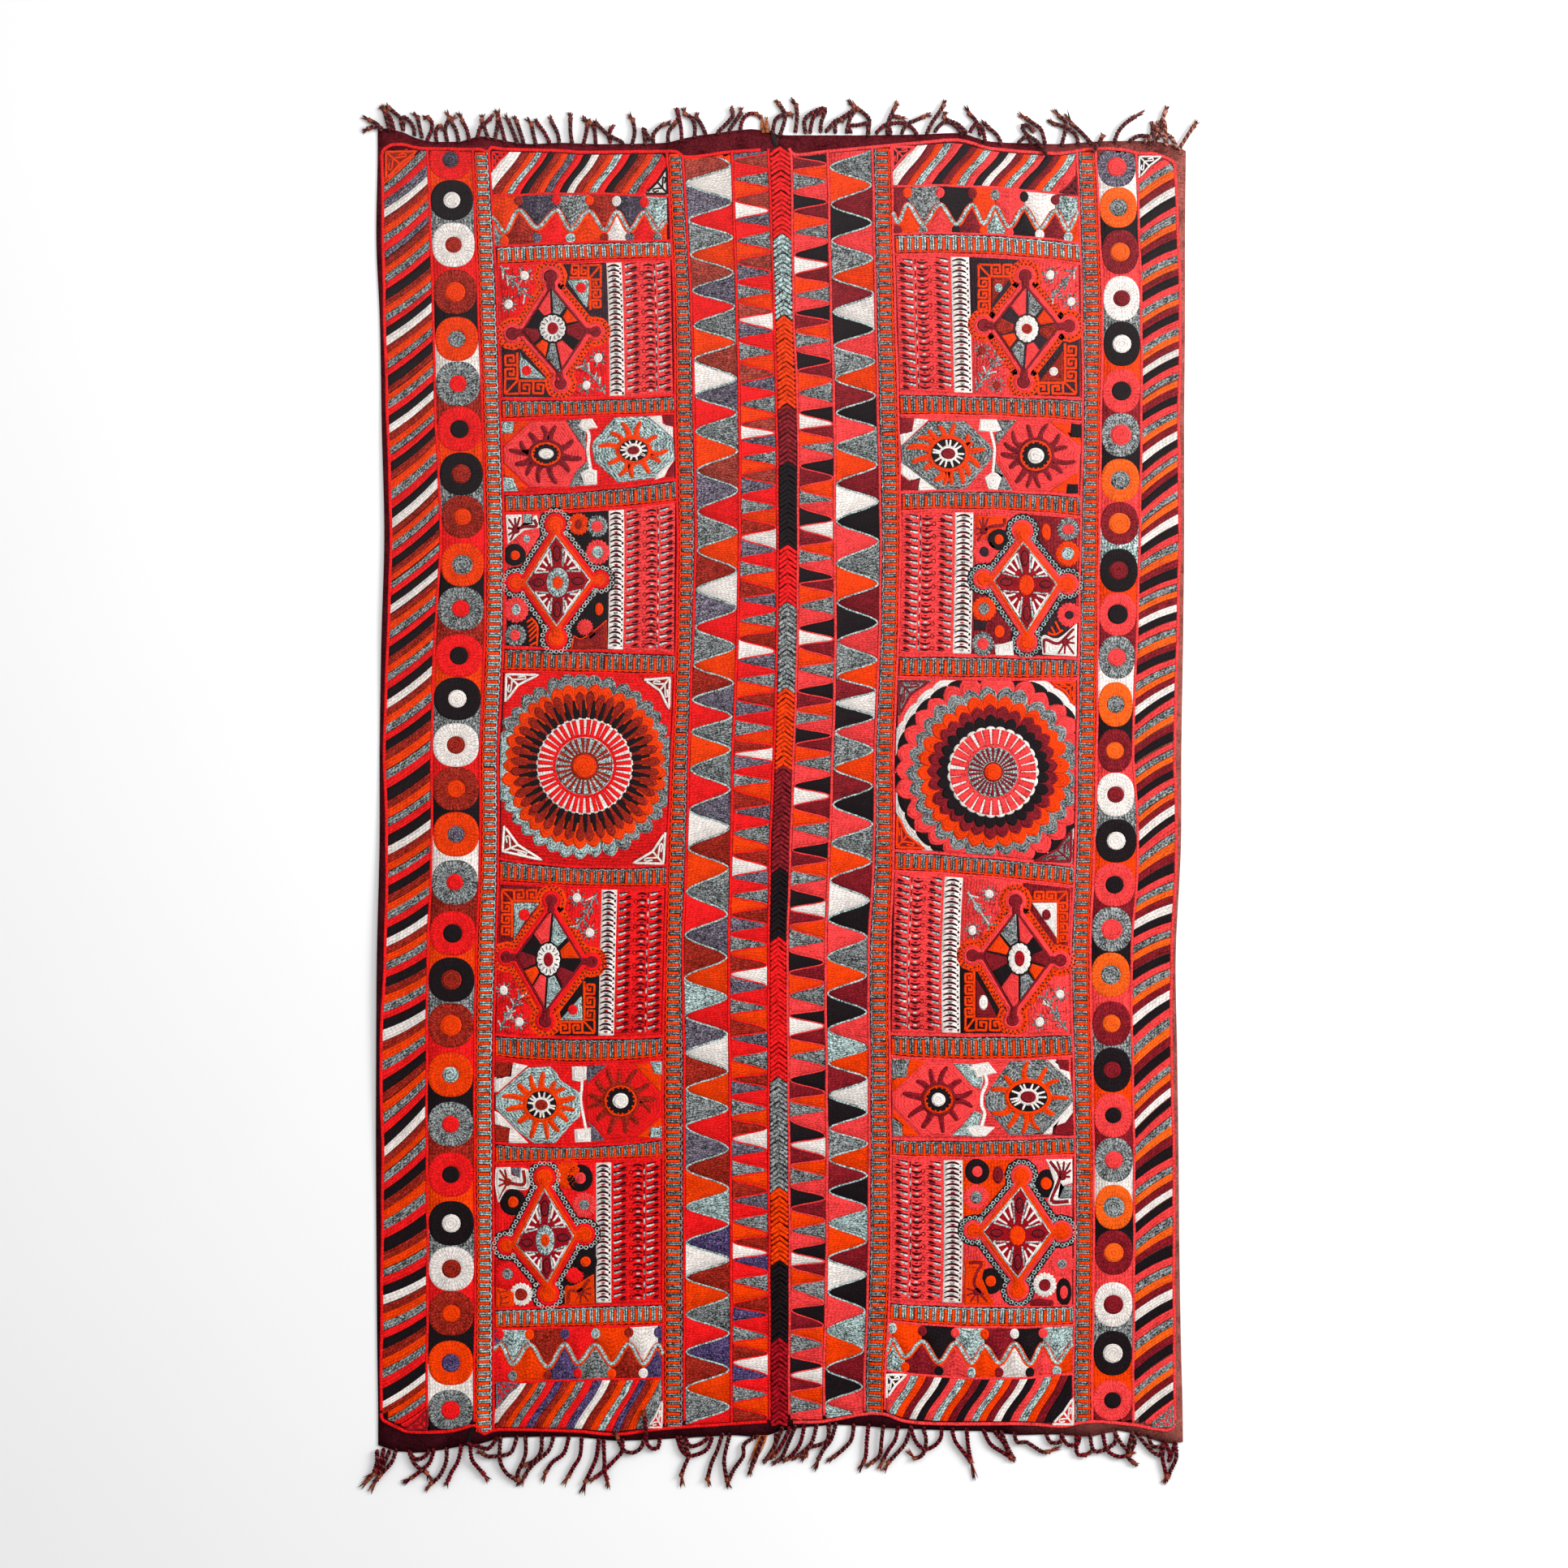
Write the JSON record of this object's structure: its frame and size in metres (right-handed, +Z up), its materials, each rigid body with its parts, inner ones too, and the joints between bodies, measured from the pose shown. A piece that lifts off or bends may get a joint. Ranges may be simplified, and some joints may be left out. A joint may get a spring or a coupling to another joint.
{
  "type": "wedding blanket",
  "caption": "Wool wedding blanket laid flat: loom widths covered in chain stitch, joined by a herringbone braid, with knotted warp fringes.",
  "frame": {"origin": "middle of the blanket's box, on the surface that it lies on", "axes": "+Y along the blanket's length, towards the top end in the picture, +Z up out of the embroidered face"},
  "size_m": [1.444, 2.44, 0.0095],
  "materials": {
    "embroidery_left": "dense wool chain stitch on dark twill, scarlet with rust, orange, black, grey and white",
    "embroidery_right": "dense wool chain stitch on dark twill, coral red with maroon, orange, black, grey and white",
    "braid_wool": "thick herringbone stitches of wool yarn in coloured lengths",
    "warp_wool": "hand-spun two-ply wool, dark maroon with rust flecks"
  },
  "bodies": {
    "root": {"panel_left": "embroidery_left", "panel_right": "embroidery_right", "centre_braid": "braid_wool", "fringe_top_left": "warp_wool", "fringe_top_right": "warp_wool", "fringe_bottom_left": "warp_wool", "fringe_bottom_right": "warp_wool"}
  },
  "joints": []
}
